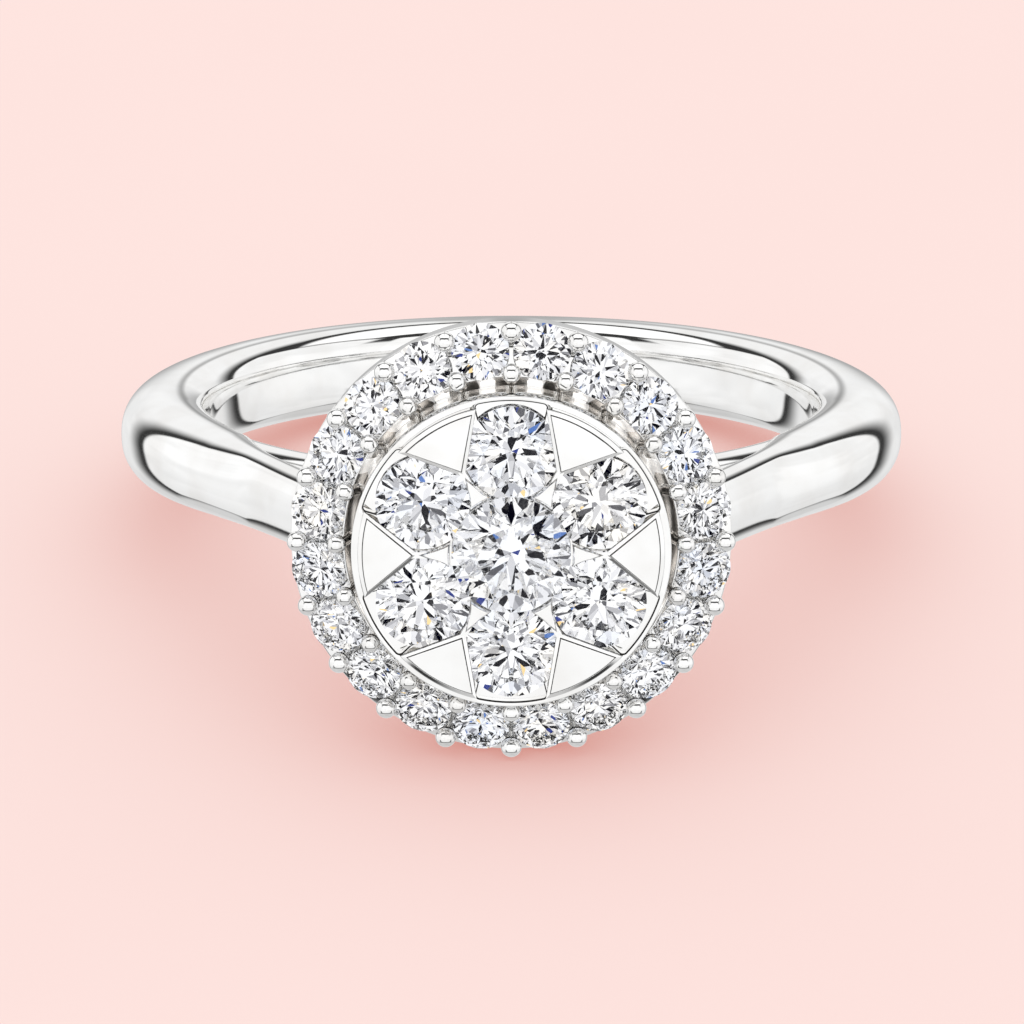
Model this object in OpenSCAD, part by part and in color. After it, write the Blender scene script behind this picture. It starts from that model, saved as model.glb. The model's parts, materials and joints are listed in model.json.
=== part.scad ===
// Cluster halo ring, lying on its side on the halo's rim and the back of its band.
// Millimetres, +Z up. The head points along -Y and is tipped up a little.
// Two frames are used below. In the ring's frame the finger hole's axis is Z and the head lies along -Y.
// In the head's frame Z runs out along the head's axis, and z = 0 is the plane of the halo stones' girdles.

/* [Finger hole] */
// Inside diameter of the band
finger_d = 16.5; // [15:0.1:19]

/* [Shank] */
// Wall of the band at its back
back_t = 1.8; // [1.6:0.02:2]
// Wall of the band at its sides
side_t = 2.34; // [2.2:0.02:2.4]
// Wall of the band where the shoulders begin
waist_t = 1.9; // [1.8:0.02:2.1]
// Distance of the shoulders' straight outside from the finger hole
shoulder_out = 1.5; // [1.46:0.02:1.6]
// Wall of the shoulders beside the gap under the halo
shoulder_t = 1.1; // [1.06:0.02:1.2]
// Wall of the bridge under the head
bridge_t = 1.06; // [1:0.02:1.2]
// Width of the band at its back
back_w = 2.46; // [2.4:0.02:2.7]
// Width of the band at its sides
side_w = 2.42; // [2.2:0.02:2.5]
// Width of the shoulders at the halo
shoulder_w = 1.96; // [1.94:0.02:2.2]
// Width of the bridge
bridge_w = 1.84; // [1.7:0.02:1.86]

/* [Halo] */
// Height of the halo stones above the finger hole
head_rise = 4.1; // [4:0.05:4.3]
// Radius of the circle through the halo stones' centres
halo_r = 4.86; // [4.84:0.01:4.9]
// Slope of the halo's face, lower at its outer edge
halo_slope = 21; // [19:0.5:22]
// Outside radius of the halo's wall
halo_wall_r = 5.44; // [5.42:0.01:5.46]

/* [Cluster] */
// Height of the outer cluster stones above the halo stones
cluster_rise = 1.22; // [1.1:0.02:1.4]
// Radius of the circle through the outer cluster stones' centres
cluster_r = 2.52; // [2.52:0.01:2.54]
// Diameter of the outer cluster stones
cluster_stone_d = 2.33; // [2.28:0.01:2.34]
// Diameter of the centre stone
centre_stone_d = 2.94; // [2.86:0.01:2.96]
// Outside radius of the cup
cup_r = 3.86; // [3.84:0.01:3.88]

/* [Stones] */
// Angle of the crown's main facets
crown_angle = 34.5; // [30:0.5:36]
// Angle of the pavilion's main facets
pavilion_angle = 40.75; // [39:0.25:42]
// Width of the table as a share of the diameter
table_share = 0.57; // [0.52:0.01:0.62]

/* [Hidden] */
$fn = 96;
halo_count = 20;
cluster_count = 6;

function two_digits(i) = str(i < 10 ? "0" : "", i);

metal = [0.86, 0.86, 0.85];
diamond = [0.93, 0.95, 0.98];

function mix(a, b, t) = a + (b - a) * t;
function clamp(t) = min(max(t, 0), 1);
function smooth(t) = clamp(t) * clamp(t) * (3 - 2 * clamp(t));
function sgn_pow(v, e) = sign(v) * pow(abs(v), e);

// Radii of the band, from the finger hole's axis
finger_r = finger_d / 2;
back_r = finger_r + back_t;
side_r = finger_r + side_t;
bridge_r = finger_r + bridge_t;
// How far the rounded inside of a section goes past the finger hole before the hole is cut true
band_crown = 0.2;
bridge_crown = 0.12;

// The halo, in the head's frame
halo_z = finger_r + head_rise;
halo_step = 360 / halo_count;
halo_pitch = 2 * halo_r * sin(halo_step / 2);
halo_stone_gap = 0.09;
halo_stone_d = halo_pitch - halo_stone_gap;
land_drop = 0.25;
halo_foot_z = -1.13;
halo_chamfer = 0.12;
funnel_top_r = 4.16;
funnel_base_r = 3.52;
floor_z = -1.65;
floor_t = 0.4;
basket_r = 3.9;
window_w = 0.42;
window_h = 0.6;
window_z = -1.4;
window_reach = [3.2, 4.35];

// Bead prongs: distance of their circle outside the halo stones' circle, radius of the bead,
// radius of its post, and height of the bead's middle
OUTER_BEADS = [0.365, 0.26, 0.14, 0.27];
INNER_BEADS = [-0.587, 0.24, 0.16, 0.18];
post_depth = 0.65;
bead_fn = 32;

// The cluster's cup, in the head's frame
cluster_step = 360 / cluster_count;
centre_lift = 0.24;
rim_z = cluster_rise + 0.02;
cup_band_z = -0.05;
cup_base_r = 3.1;
cup_base_z = floor_z - 0.1;
pocket_r = 3.79;
pocket_inner_r = 3.2;
pocket_half = 13.5;
pocket_drop = 0.15;

// Plates on the cup: heights are measured from the outer cluster stones' girdles.
// Each big plate has a foot between the stones and a wider lip over the edges of their crowns
plate_top = 0.34;
plate_bevel = 0.14;
plate_bevel_h = 0.09;
plate_bevel_turn = 2.6;
plate_tip_draw = 1.5;
plate_lip_z = 0.17;
plate_root = -0.1;
plate_tip_r = 2.26;
plate_arc_r = 3.78;
plate_half = 16.9;
foot_tip_r = 2.57;
foot_half = 14.5;
small_bevel = 0.05;
small_tip_draw = 2.4;
small_bevel_turn = 2.3;
small_root = 0.12;
small_tip_r = 2.28;
small_arc_r = 1.52;
small_half = 11;
stem_r = 0.11;
stem_at = 1.73;
stem_root = -0.3;
stem_h = 0.5;
neck_w = 0.16;
neck_top = 0.28;
neck_sink = 0.2;

// Cut stones
seat_gap = 0.03;
seat_open = 1;
girdle_share = 0.03;
star_share = 0.5;
lower_share = 0.78;
halo_hole_r = 0.34;
halo_hole_depth = 2.3;
cluster_hole_r = 0.42;
centre_hole_r = 0.5;
cluster_hole_depth = 3.6;
centre_hole_depth = 2.84;

function girdle_h(d) = girdle_share * d / 2;
function crown_z(d, inset) = girdle_h(d) + inset * tan(crown_angle);
function pavilion_z(d, inset) = -girdle_h(d) - inset * tan(pavilion_angle);
function circle_points(n, r, z, a0) =
    [for (i = [0 : n - 1]) [r * cos(a0 + i * 360 / n), r * sin(a0 + i * 360 / n), z]];

// Solid through a list of rings with the same number of points.
// Each ring turns counterclockwise when it is seen from the ring after it
module skin(rings) {
    n = len(rings[0]);
    last = len(rings) - 1;
    sides = [for (j = [0 : last - 1], k = [0 : n - 1])
        [j * n + k, (j + 1) * n + k, (j + 1) * n + (k + 1) % n, j * n + (k + 1) % n]];
    caps = [[for (k = [0 : n - 1]) k], [for (k = [n - 1 : -1 : 0]) last * n + k]];
    polyhedron(points = [for (ring = rings) each ring], faces = concat(sides, caps), convexity = 8);
}

// Shank. Angles run from the head's axis, 180 is the back of the band.
// The shoulders' outside is a straight line that leans away from the head's axis
shoulder_lean = 59.7;
shoulder_d = finger_r + shoulder_out;
waist_at = 47;
waist_blend = 40;
waist_soft = 0.06;
width_at = 28;
width_blend = 50;
back_blend = 60;
shoulder_sink = 0.02;
shoulder_top = halo_z + halo_foot_z - shoulder_sink;
split_start = 54;
split_end = 41;
shank_tip = 18.5;
shank_steps = 72;
shank_sides = 20;
peg_low_r = 0.75;
peg_high_r = 1.5;
peg_low_sink = 0.4;
peg_high_sink = 0.15;
bridge_reach = 58;
bridge_steps = 26;
bridge_sides = 16;
round_power = 2.35;

function line_r(a, d) = d / cos(shoulder_lean - a);
function soft_max(a, b, k) = (a + b + sqrt((a - b) * (a - b) + k * k)) / 2;
function circle_r(a) =
    a > 90 ? mix(side_r, back_r, smooth((a - 90) / 90))
    : mix(finger_r + waist_t, side_r, smooth((a - waist_at) / waist_blend));
function outer_r(a) =
    a < shoulder_lean ? min(soft_max(circle_r(a), line_r(a, shoulder_d), waist_soft), shoulder_top / cos(a))
    : circle_r(a);
function inner_r(a) =
    let (bore = finger_r - band_crown)
    a > split_start ? bore
    : mix(bore, line_r(a, shoulder_d - shoulder_t), smooth((split_start - a) / (split_start - split_end)));
function band_w(a) =
    a > 90 ? mix(side_w, back_w, smooth((a - 90) / back_blend))
    : mix(shoulder_w, side_w, smooth((a - width_at) / width_blend));

// Rounded section between two radii, as [radius, height] points
function section(ri, ro, w, n) =
    [for (k = [0 : n - 1]) let (t = k * 360 / n) [
        (ri + ro) / 2 + (ro - ri) / 2 * sgn_pow(cos(t), 2 / round_power),
        -w / 2 * sgn_pow(sin(t), 2 / round_power)
    ]];
function place_section(points, a) = [for (p = points) [p[0] * sin(a), -p[0] * cos(a), p[1]]];
function from_head(a) = a > 180 ? 360 - a : a;

module band() {
    skin([for (i = [0 : shank_steps])
        let (a = mix(shank_tip, 360 - shank_tip, i / shank_steps), b = from_head(a))
        place_section(section(inner_r(b), outer_r(b), band_w(b), shank_sides), a)]);
}

module bridge() {
    skin([for (i = [0 : bridge_steps])
        let (a = mix(-bridge_reach, bridge_reach, i / bridge_steps))
        place_section(section(finger_r - bridge_crown, bridge_r, bridge_w, bridge_sides), a)]);
}

module shank() {
    difference() {
        union() {
            band();
            bridge();
        }
        cylinder(r = finger_r, h = 2 * back_w, center = true);
    }
}

// Short peg between the bridge and the head's floor
module peg() {
    low = bridge_r - peg_low_sink - halo_z;
    high = floor_z - floor_t + peg_high_sink;
    translate([0, 0, low]) cylinder(r1 = peg_low_r, r2 = peg_high_r, h = high - low);
}

// Halo
function land_z(r) = (halo_r - r) * tan(halo_slope) - land_drop;

module on_halo(angle, r) {
    s = (r - halo_r) / cos(halo_slope);
    rotate([0, 0, angle])
        translate([halo_r, 0, 0])
            rotate([0, halo_slope, 0])
                translate([s, 0, 0]) children();
}

module halo_body() {
    rotate_extrude() polygon([
        [halo_wall_r, land_z(halo_wall_r)],
        [funnel_top_r, land_z(funnel_top_r)],
        [funnel_base_r, floor_z],
        [0, floor_z],
        [0, floor_z - floor_t],
        [basket_r, floor_z - floor_t],
        [halo_wall_r - halo_chamfer, halo_foot_z - halo_chamfer],
        [halo_wall_r, halo_foot_z]
    ]);
}

module window(angle) {
    rotate([0, 0, angle])
        translate([window_reach[0], -window_w / 2, window_z])
            cube([window_reach[1] - window_reach[0], window_w, window_h]);
}

module bead(angle, sizes) {
    on_halo(angle, halo_r + sizes[0]) {
        translate([0, 0, sizes[3]]) sphere(r = sizes[1], $fn = bead_fn);
        translate([0, 0, -post_depth]) cylinder(r = sizes[2], h = post_depth + sizes[3], $fn = bead_fn);
    }
}

// Hollow for a stone with the seat gap all round, open above, and drilled on below if hole_r is not 0
module seat(d, up, hole_r, depth) {
    rim_r = d / 2 + seat_gap;
    slant = seat_gap / cos(pavilion_angle);
    rotate_extrude() polygon([
        [0, up],
        [rim_r, up],
        [rim_r, pavilion_z(d, -seat_gap) - slant],
        [hole_r, pavilion_z(d, d / 2 - hole_r) - slant],
        if (hole_r > 0) [hole_r, -depth],
        if (hole_r > 0) [0, -depth]
    ]);
}

// The seats beside the shoulders stay closed below, and so do the windows there
function beside_shoulder(angle) = abs(sin(angle)) < sin(halo_step);

module halo() {
    difference() {
        halo_body();
        for (i = [0 : halo_count - 1]) {
            angle = (i + 0.5) * halo_step;
            closed = beside_shoulder(angle);
            on_halo(angle, halo_r) seat(halo_stone_d, seat_open, closed ? 0 : halo_hole_r, halo_hole_depth);
            if (!closed) window(angle);
        }
    }
    for (i = [0 : halo_count - 1]) {
        bead(i * halo_step, OUTER_BEADS);
        bead(i * halo_step, INNER_BEADS);
    }
}

// Cluster cup
module on_cluster(i) {
    rotate([0, 0, (i + 0.5) * cluster_step]) translate([cluster_r, 0, cluster_rise]) children();
}

module pocket(i) {
    rotate([0, 0, (i + 0.5) * cluster_step - pocket_half])
        translate([0, 0, cluster_rise - pocket_drop])
            rotate_extrude(angle = 2 * pocket_half)
                translate([pocket_inner_r, 0]) square([pocket_r - pocket_inner_r, 1]);
}

module cup_body() {
    difference() {
        rotate_extrude() polygon([
            [0, cup_base_z],
            [cup_base_r, cup_base_z],
            [cup_r, cup_band_z],
            [cup_r, rim_z],
            [0, rim_z]
        ]);
        for (i = [0 : cluster_count - 1]) {
            on_cluster(i) seat(cluster_stone_d, seat_open, cluster_hole_r, cluster_hole_depth);
            pocket(i);
        }
        translate([0, 0, cluster_rise + centre_lift])
            seat(centre_stone_d, seat_open, centre_hole_r, centre_hole_depth);
    }
}

// Outline of a plate that points at the cluster's middle: its tip, then its outer arc
function plate_outline(tip_r, arc_r, half, z) =
    concat(
        [[tip_r, 0, z]],
        [for (k = [0 : 8]) let (a = mix(-half, half, k / 8)) [arc_r * cos(a), arc_r * sin(a), z]]);
// Outline of a small plate: its tip, then the hollow side that follows the centre stone
function small_outline(tip_r, arc_r, half, z) =
    concat(
        [[tip_r, 0, z]],
        [for (k = [0 : 4]) let (a = mix(half, -half, k / 4)) [arc_r * cos(a), arc_r * sin(a), z]]);

module big_plate() {
    top_tip_r = plate_tip_r + plate_tip_draw * plate_bevel;
    skin([
        plate_outline(foot_tip_r, plate_arc_r, foot_half, plate_root),
        plate_outline(foot_tip_r, plate_arc_r, foot_half, plate_lip_z),
        plate_outline(plate_tip_r, plate_arc_r, plate_half, plate_lip_z),
        plate_outline(plate_tip_r, plate_arc_r, plate_half, plate_top - plate_bevel_h),
        plate_outline(top_tip_r, plate_arc_r - plate_bevel, plate_half - plate_bevel_turn, plate_top)
    ]);
}

module small_plate() {
    top_tip_r = small_tip_r - small_tip_draw * small_bevel;
    skin([
        small_outline(small_tip_r, small_arc_r, small_half, small_root),
        small_outline(small_tip_r, small_arc_r, small_half, plate_top - small_bevel),
        small_outline(top_tip_r, small_arc_r + small_bevel, small_half - small_bevel_turn, plate_top)
    ]);
    translate([stem_at, 0, stem_root]) cylinder(r = stem_r, h = stem_h);
}

module neck() {
    translate([small_tip_r - neck_sink, -neck_w / 2, small_root])
        cube([foot_tip_r - small_tip_r + 2 * neck_sink, neck_w, neck_top - small_root]);
}

module cluster() {
    cup_body();
    for (i = [0 : cluster_count - 1])
        rotate([0, 0, i * cluster_step]) translate([0, 0, cluster_rise]) {
            big_plate();
            small_plate();
            neck();
        }
}

// Round brilliant with its girdle's middle at z = 0: table, stars, kites, upper halves,
// girdle, lower halves and pavilion mains
module brilliant(d) {
    r = d / 2;
    table_r = r * table_share;
    star_r = mix(table_r * cos(22.5), r, star_share);
    lower_r = r * (1 - lower_share);
    table_z = crown_z(d, r - table_r);
    star_z = crown_z(d, r - star_r * cos(22.5));
    lower_z = pavilion_z(d, r - lower_r * cos(22.5));
    points = concat(
        circle_points(8, table_r, table_z, 0),
        circle_points(8, star_r, star_z, 22.5),
        circle_points(16, r, girdle_h(d), 0),
        circle_points(16, r, -girdle_h(d), 0),
        circle_points(8, lower_r, lower_z, 22.5),
        [[0, 0, pavilion_z(d, r)]]
    );
    star = 8;
    top = 16;
    bottom = 32;
    lower = 48;
    culet = 56;
    eights = [0 : 7];
    faces = concat(
        [[for (k = [7 : -1 : 0]) k]],
        [for (k = eights) [k, (k + 1) % 8, star + k]],
        [for (k = eights) [k, star + k, top + 2 * k, star + (k + 7) % 8]],
        [for (k = eights) [star + k, top + 2 * k + 1, top + 2 * k]],
        [for (k = eights) [star + k, top + (2 * k + 2) % 16, top + 2 * k + 1]],
        [for (k = [0 : 15]) [top + k, top + (k + 1) % 16, bottom + (k + 1) % 16, bottom + k]],
        [for (k = eights) [lower + k, bottom + 2 * k, bottom + 2 * k + 1]],
        [for (k = eights) [lower + k, bottom + 2 * k + 1, bottom + (2 * k + 2) % 16]],
        [for (k = eights) [culet, lower + (k + 7) % 8, bottom + 2 * k, lower + k]]
    );
    polyhedron(points = points, faces = faces);
}

// How the ring rests: the halo's foot and the back of the band touch the ground together
halo_foot_y = halo_z + halo_foot_z;
back_points = section(finger_r - band_crown, back_r, back_w, shank_sides);
function back_reach(y, z) = max([for (p = back_points) p[0] * y + p[1] * z]);
back_mid = (finger_r - band_crown + back_r) / 2;
function next_tilt(t) =
    let (back_drop = back_reach(sin(t), cos(t)) - back_mid * sin(t))
    asin((halo_wall_r * cos(t) - back_drop) / (halo_foot_y + back_mid));
function rest_tilt(t, n) = n == 0 ? t : rest_tilt(next_tilt(t), n - 1);
tilt_guess = 11;
tilt_rounds = 12;
tilt = rest_tilt(tilt_guess, tilt_rounds);
centre_z = halo_wall_r * cos(tilt) - halo_foot_y * sin(tilt);
// The box around the ring is centred on the origin. Its front touches the lowest edge of a stone's table,
// or the lowest corner of a plate
function front_at(up, out) = -(halo_z + up) * cos(tilt) - out * sin(tilt);
function table_front(d, up, out) =
    let (table_r = d / 2 * table_share) front_at(up + crown_z(d, d / 2 - table_r), out + table_r);
corner_turn = cluster_step / 2 - plate_half + plate_bevel_turn;
front_y = min(
    table_front(centre_stone_d, cluster_rise + centre_lift, 0),
    table_front(cluster_stone_d, cluster_rise, cluster_r),
    front_at(cluster_rise + plate_top, (plate_arc_r - plate_bevel) * cos(corner_turn)));
back_y = back_reach(cos(tilt), sin(tilt));
centre_y = -(front_y + back_y) / 2;

module resting() {
    translate([0, centre_y, centre_z]) rotate([-tilt, 0, 0]) children();
}

module at_head() {
    translate([0, -halo_z, 0]) rotate([90, 0, 0]) children();
}

module ring_setting() {
    color(metal) resting() {
        shank();
        at_head() {
            halo();
            cluster();
            peg();
        }
    }
}

module centre_stone() {
    color(diamond) resting() at_head()
        translate([0, 0, cluster_rise + centre_lift]) brilliant(centre_stone_d);
}

module cluster_stone(i) {
    color(diamond) resting() at_head() on_cluster(i - 1) brilliant(cluster_stone_d);
}

module halo_stone(i) {
    color(diamond) resting() at_head() on_halo((i - 0.5) * halo_step, halo_r) brilliant(halo_stone_d);
}

ring_setting();
centre_stone();
for (i = [1 : cluster_count])
    cluster_stone(i);
for (i = [1 : halo_count])
    halo_stone(i);
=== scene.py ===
"""The dressed cluster halo ring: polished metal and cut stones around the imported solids."""

import json
import math
import random

import bmesh
import bpy
from mathutils import Matrix, Vector

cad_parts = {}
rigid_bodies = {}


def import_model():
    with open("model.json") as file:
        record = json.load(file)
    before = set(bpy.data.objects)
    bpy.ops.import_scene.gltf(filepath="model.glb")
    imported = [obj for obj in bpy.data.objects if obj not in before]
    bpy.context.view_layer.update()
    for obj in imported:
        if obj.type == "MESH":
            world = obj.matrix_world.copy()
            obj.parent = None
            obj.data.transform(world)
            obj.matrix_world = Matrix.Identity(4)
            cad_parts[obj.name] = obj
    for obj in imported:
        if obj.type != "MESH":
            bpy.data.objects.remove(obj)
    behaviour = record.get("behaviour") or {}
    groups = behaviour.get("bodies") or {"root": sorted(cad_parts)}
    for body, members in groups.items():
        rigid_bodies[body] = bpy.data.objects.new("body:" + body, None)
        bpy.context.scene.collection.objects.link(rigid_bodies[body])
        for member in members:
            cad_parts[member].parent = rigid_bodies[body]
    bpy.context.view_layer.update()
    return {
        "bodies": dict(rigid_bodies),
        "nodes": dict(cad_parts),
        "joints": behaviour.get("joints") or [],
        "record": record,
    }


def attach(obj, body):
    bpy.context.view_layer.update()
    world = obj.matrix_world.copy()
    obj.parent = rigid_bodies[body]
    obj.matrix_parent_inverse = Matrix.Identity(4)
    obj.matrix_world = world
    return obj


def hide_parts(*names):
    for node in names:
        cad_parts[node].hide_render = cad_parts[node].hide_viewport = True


bl_info = {
    "name": "Cluster Halo Ring",
    "version": (1, 0, 0),
    "blender": (4, 5, 0),
    "location": "3D View > Sidebar > Halo Ring",
    "description": "Builds a cluster halo ring piece by piece, with its ground, lights and camera",
    "category": "Add Mesh",
}

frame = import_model()
MM = 0.001
TURN = 2 * math.pi
SETTING = "ring_setting"

# The ring leans back on the halo's foot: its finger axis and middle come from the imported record
BORE = frame["record"]["mounts"][0]
LEAN = math.atan2(BORE["axis"][1], BORE["axis"][2])
RING = Matrix.Translation(BORE["pos_m"]) @ Matrix.Rotation(-LEAN, 4, "X") @ Matrix.Scale(MM, 4)

# Sizes in millimetres that a user would not change, as in the part's source
HALO_COUNT = 20
CLUSTER_COUNT = 6
BAND_CROWN = 0.2
BRIDGE_CROWN = 0.12
ROUND_POWER = 2.35
# Shoulders: the angle from the head that their straight part faces, how far it is outside the finger hole,
# its wall and how softly it leaves the round part
SHOULDER_LEAN = 59.7
SHOULDER_OUT = 1.5
SHOULDER_WALL = 1.1
SHOULDER_EASE = 0.14
WAIST_WALL = 1.9
WAIST_AT = 47
# Angles from the head between which the shoulder leaves the finger hole
SPLIT = (62, 40)
SHANK_TIP = 18.5
BORE_EASE = 0.4
BRIDGE_REACH = 58
LAND_DROP = 0.25
HALO_FOOT = -1.13
RIM_LIFT = 0.19
# The halo's face beside the stones: its raised rim starts so far inside their edges, and is so wide
RIM_INSET = 0.035
RIM_WIDTH = 0.3
FLOOR_Z = -1.65
FLOOR_T = 0.4
BASKET_R = 3.9
FUNNEL = (4.16, 3.52)
# Painted light inside the halo: its faces are painted paler than the metal, and its upper wall glows at this
# strength though no lamp is there. Both stand in for light that hardly reaches into the narrow gallery.
GALLERY_GLOW = 0.42
# The gallery's upper wall, which takes the painted glow, ends at this height
GLOW_Z = -0.5
# Level of the faces inside the halo: rougher, and painted paler as painted light.
GALLERY_DULL_PAINTED_LIGHT = 0.1
# Level of the gallery's upper wall, which also gets the painted glow.
GLOW_DULL = 0.2
# Windows: width, height and lowest edge, and the radii that they are cut between
WINDOW = (0.42, 0.6, -1.4)
WINDOW_REACH = (3.2, 4.35)
# Sills: inner and outer radius, width, height and how far they fall outward
SILL = (3.5, 3.78, 0.38, -1.08, 0.06)
SILL_T = 0.1
# Bead prongs: distance of their circle outside the halo stones' circle, radius of the bead and of its post,
# and how high the bead's middle stands
OUTER_BEADS = (0.365, 0.26, 0.14, 0.27)
INNER_BEADS = (-0.587, 0.24, 0.16, 0.18)
BEAD_STEPS = 25
# Bands of each bead just below its middle, painted dark: painted shade.
BEAD_SHADE_BANDS = range(7, 11)
POST_FOOT = -0.65
# Light holes under the seats: radius and how far below the girdle they reach
HALO_HOLE = (0.34, 2.3)
CLUSTER_HOLE = (0.42, 3.6)
CENTRE_HOLE = (0.5, 2.84)
PEG = (0.75, 1.5)
CENTRE_LIFT = 0.24
CUP_BAND = -0.05
CUP_BASE_R = 3.1
# Pockets: inner and outer radius, half their angle in degrees, and depth below the outer stones' girdles
POCKET = (3.2, 3.82, 13.5, 0.15)
POCKET_CORNER = 0.1
POCKET_ROUND = 0.05
# Bands of the pockets' walls painted dark: painted shade along their edges.
POCKET_DARK = range(1, 5)
# Plates: heights are measured from the outer cluster stones' girdles. The frame is (inset, height) points,
# whose dark bands, painted shade along the plates' creases, are numbered from the plate's root
PLATE_TOP = 0.34
PLATE_LIP = 0.17
PLATE_FRAME = ((0, 0.252), (0.1, 0.29), (0.11, 0.288), (0.132, PLATE_TOP), (0.16, PLATE_TOP))
FRAME_DARK = (2, 3, *range(12, 18))
PLATE_ROOT = -0.1
# Outlines of the big plates: radius of the tip and of the outer arc, and half the arc's angle in degrees
PLATE_FOOT = (2.57, 3.78, 14.5)
PLATE_TIP, PLATE_ARC, PLATE_HALF = 2.26, 3.78, 16.9
# Small plates: the tip's and the inner arc's radius and half the arc's angle, then the stem below (its place,
# radius, foot and top) and two opposite corners of the neck that joins the small plate to the big one
SMALL_TIP, SMALL_ARC, SMALL_HALF = 2.28, 1.52, 11
STEM = (1.73, 0.11, -0.3, 0.2)
NECK = ((2.08, -0.08, 0.12), (2.77, 0.08, 0.28))
SMALL_PLATE_FOOT = 0.12
SMALL_PLATE_BEVEL = 0.05
SMALL_PLATE_EASE = 0.015
SEAT_GAP = 0.006
GIRDLE_SHARE = 0.03
CROWN_ANGLE = 34.5
PAVILION_ANGLE = 40.75
TABLE_SHARE = 0.57
STAR_SHARE = 0.5
LOWER_SHARE = 0.78


def mix(a, b, t):
    return a + (b - a) * t


def smooth(t):
    t = min(max(t, 0), 1)
    return t * t * (3 - 2 * t)


def soft_max(a, b, k):
    return (a + b + math.hypot(a - b, k)) / 2


def signed_power(v, e):
    return math.copysign(abs(v) ** e, v)


def cos(degrees):
    return math.cos(math.radians(degrees))


def sin(degrees):
    return math.sin(math.radians(degrees))


def tan(degrees):
    return math.tan(math.radians(degrees))


# Settings that a user would change


def length(name, description, millimetres):
    return bpy.props.FloatProperty(
        name=name, description=description, default=millimetres * MM, unit="LENGTH", precision=5, min=0
    )


def colour(name, description, value):
    return bpy.props.FloatVectorProperty(
        name=name, description=description, default=value, subtype="COLOR", size=3, min=0, max=1
    )


class HALORING_PG_sizes(bpy.types.PropertyGroup):
    finger_d: length("Finger hole", "Inside diameter of the band", 16.5)
    back_t: length("Back wall", "Wall of the band at its back", 1.8)
    side_t: length("Side wall", "Wall of the band at its sides", 2.34)
    bridge_t: length("Bridge wall", "Wall of the bridge under the head", 1.06)
    back_w: length("Back width", "Width of the band at its back", 2.46)
    side_w: length("Side width", "Width of the band at its sides", 2.42)
    shoulder_w: length("Shoulder width", "Width of the shoulders at the halo", 1.96)
    bridge_w: length("Bridge width", "Width of the bridge", 1.84)
    head_rise: length("Head height", "Height of the halo stones above the finger hole", 4.1)
    halo_r: length("Halo radius", "Radius of the circle through the halo stones", 4.86)
    halo_wall_r: length("Halo wall", "Outside radius of the halo's wall", 5.44)
    cluster_rise: length("Cluster height", "Height of the cluster above the halo stones", 1.22)
    cluster_r: length("Cluster radius", "Radius of the circle through the outer cluster stones", 2.52)
    cluster_stone_d: length("Cluster stone", "Diameter of the outer cluster stones", 2.33)
    centre_stone_d: length("Centre stone", "Diameter of the centre stone", 2.94)
    cup_r: length("Cup radius", "Outside radius of the cluster's cup", 3.95)
    halo_slope: bpy.props.FloatProperty(
        name="Halo slope", description="Slope of the halo's face", default=math.radians(21), subtype="ANGLE"
    )


class HALORING_PG_colours(bpy.types.PropertyGroup):
    metal: colour("White gold", "Colour of the polished metal", (0.93, 0.93, 0.925))
    # The gallery's colour is paler than the metal: painted light inside the halo, where little light reaches.
    gallery: colour("Gallery", "Colour of the metal inside the halo", (0.99, 0.982, 0.973))
    # Painted shade: the dark colour painted on the pockets' walls, the plates' frame bands and a band below
    # each bead's middle.
    crevice: colour("Crevices", "Colour of the metal in narrow grooves", (0.06, 0.056, 0.054))
    metal_shade: colour("White gold, warm", "Colour of the metal where the polish thins", (0.87, 0.86, 0.845))
    stone: colour("Stone", "Body colour of the stones", (0.985, 0.99, 1.0))
    cool_fire: colour("Cool fire", "Blue end of the stones' fire", (0.86, 0.91, 1.0))
    warm_fire: colour("Warm fire", "Yellow end of the stones' fire", (1.0, 0.96, 0.88))
    ground: colour("Ground", "Colour of the ground", (0.91, 0.705, 0.67))


class Sizes:
    """The settings in millimetres, with what follows from them."""

    def __init__(self, context):
        group = context.scene.halo_ring_sizes
        for name in group.__annotations__:
            setattr(self, name, getattr(group, name) / MM)
        self.halo_slope = math.degrees(group.halo_slope)
        self.finger_r = self.finger_d / 2
        self.side_r = self.finger_r + self.side_t
        self.back_r = self.finger_r + self.back_t
        self.halo_z = self.finger_r + self.head_rise
        self.halo_stone_d = 2 * self.halo_r * sin(180 / HALO_COUNT) - 0.09
        self.head = RING @ Matrix.Translation((0, -self.halo_z, 0)) @ Matrix.Rotation(math.pi / 2, 4, "X")

    def land(self, r):
        """Height of the halo's face at radius r."""
        return (self.halo_r - r) * tan(self.halo_slope) - LAND_DROP

    def on_halo(self, angle, r):
        """Place on the halo's sloping face, at an angle in degrees and a radius."""
        out = (r - self.halo_r) / cos(self.halo_slope)
        return (
            Matrix.Rotation(math.radians(angle), 4, "Z")
            @ Matrix.Translation((self.halo_r, 0, 0))
            @ Matrix.Rotation(math.radians(self.halo_slope), 4, "Y")
            @ Matrix.Translation((out, 0, 0))
        )

    def on_cluster(self, index):
        """Place of one of the outer cluster stones."""
        turn = Matrix.Rotation((index + 0.5) * TURN / CLUSTER_COUNT, 4, "Z")
        return turn @ Matrix.Translation((self.cluster_r, 0, self.cluster_rise))


# Shader trees

HAIR_WIDTH = 0.05 * MM
WEAR_SIZE = 1.3 * MM
RELIEF_DEPTH = 0.0024 * MM


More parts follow.
